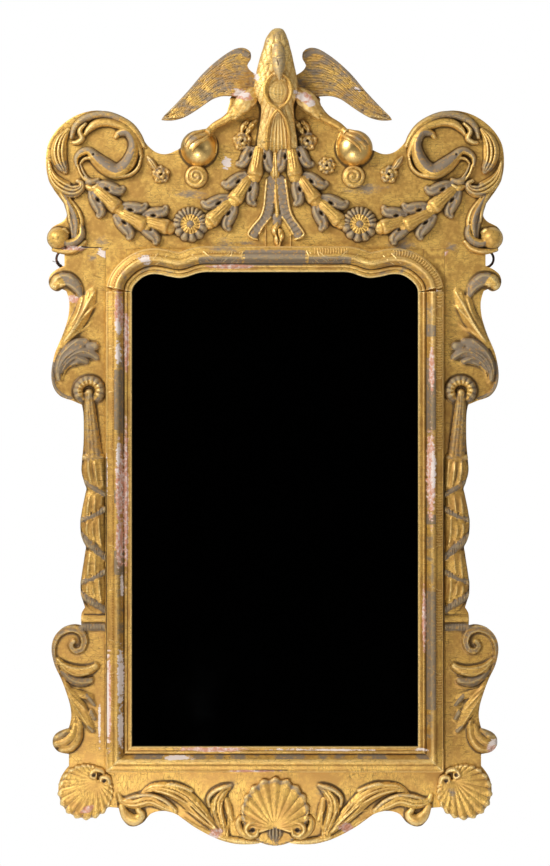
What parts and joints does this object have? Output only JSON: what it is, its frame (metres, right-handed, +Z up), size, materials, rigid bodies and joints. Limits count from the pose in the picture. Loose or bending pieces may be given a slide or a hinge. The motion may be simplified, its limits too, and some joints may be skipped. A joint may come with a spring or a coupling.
{
  "type": "wall mirror",
  "caption": "Upright wall mirror in a carved and gilt pine frame, with an eagle and eared scrolls on the crest, shells at the foot and hanging rings behind.",
  "frame": {"origin": "middle of the plate's opening, on the wall plane that the backboards and battens rest against", "axes": "+Z up, +Y into the wall, so the carved front faces -Y; +X to the right seen from the front"},
  "size_m": [0.8246, 0.1, 1.4675],
  "materials": {
    "pine": "bare pine, darkened with age",
    "gilt_pine": "water gilding over bole and gesso on carved pine, rubbed",
    "worn_gilt_pine": "gilding worn through to grey-brown gesso and bole",
    "silvered_glass": "polished glass, silvered behind",
    "iron": "wrought iron, dark and slightly rusted"
  },
  "bodies": {
    "frame": {"carcass_stile_right": "pine", "carcass_stile_left": "pine", "carcass_rail_top": "pine", "carcass_rail_bottom": "pine", "crest_board": "gilt_pine", "side_board_right": "gilt_pine", "side_board_left": "gilt_pine", "apron_board": "gilt_pine", "moulding_top": "gilt_pine", "moulding_side_right": "gilt_pine", "moulding_side_left": "gilt_pine", "moulding_bottom": "gilt_pine", "mirror_plate": "silvered_glass", "glazing_strip_right": "pine", "glazing_strip_left": "pine", "glazing_strip_top": "pine", "glazing_strip_bottom": "pine", "backboard_bottom": "pine", "backboard_middle": "pine", "backboard_top": "pine", "crest_batten_right": "pine", "crest_batten_left": "pine", "apron_batten_right": "pine", "apron_batten_left": "pine", "hanger_strap_right": "iron", "hanger_strap_left": "iron", "hanger_screw_outer_right": "iron", "hanger_screw_outer_left": "iron", "hanger_screw_inner_right": "iron", "hanger_screw_inner_left": "iron", "eagle_body": "gilt_pine", "eagle_wing_right": "gilt_pine", "eagle_wing_left": "gilt_pine", "eagle_leg_right": "gilt_pine", "eagle_leg_left": "gilt_pine", "eagle_ball_right": "gilt_pine", "eagle_ball_left": "gilt_pine", "beak_ribbon": "gilt_pine", "eagle_tail": "worn_gilt_pine", "husks_inner_right": "worn_gilt_pine", "husks_inner_left": "worn_gilt_pine", "husks_outer_right": "worn_gilt_pine", "husks_outer_left": "worn_gilt_pine", "sunflower_right": "worn_gilt_pine", "sunflower_left": "worn_gilt_pine", "rosette_right": "gilt_pine", "rosette_left": "gilt_pine", "floret_right": "gilt_pine", "floret_left": "gilt_pine", "floret_lower_right": "worn_gilt_pine", "sprig_right": "gilt_pine", "sprig_left": "gilt_pine", "ear_scroll_right": "gilt_pine", "ear_scroll_left": "gilt_pine", "corner_shell_right": "gilt_pine", "corner_shell_left": "gilt_pine", "apron_shell": "gilt_pine"},
    "ring_right": {"hanging_ring_right": "iron"},
    "ring_left": {"hanging_ring_left": "iron", "binding_wire_left": "iron"}
  },
  "joints": [
    {"name": "ring_right_swing", "type": "hinge", "parent": "frame", "child": "ring_right", "pos_m": [0.3645, -0.0052, 0.451], "axis": [0, 0, 1], "range_deg": [-5, 175]},
    {"name": "ring_left_swing", "type": "hinge", "parent": "frame", "child": "ring_left", "pos_m": [-0.3645, -0.0052, 0.451], "axis": [0, 0, -1], "range_deg": [-5, 175]}
  ]
}
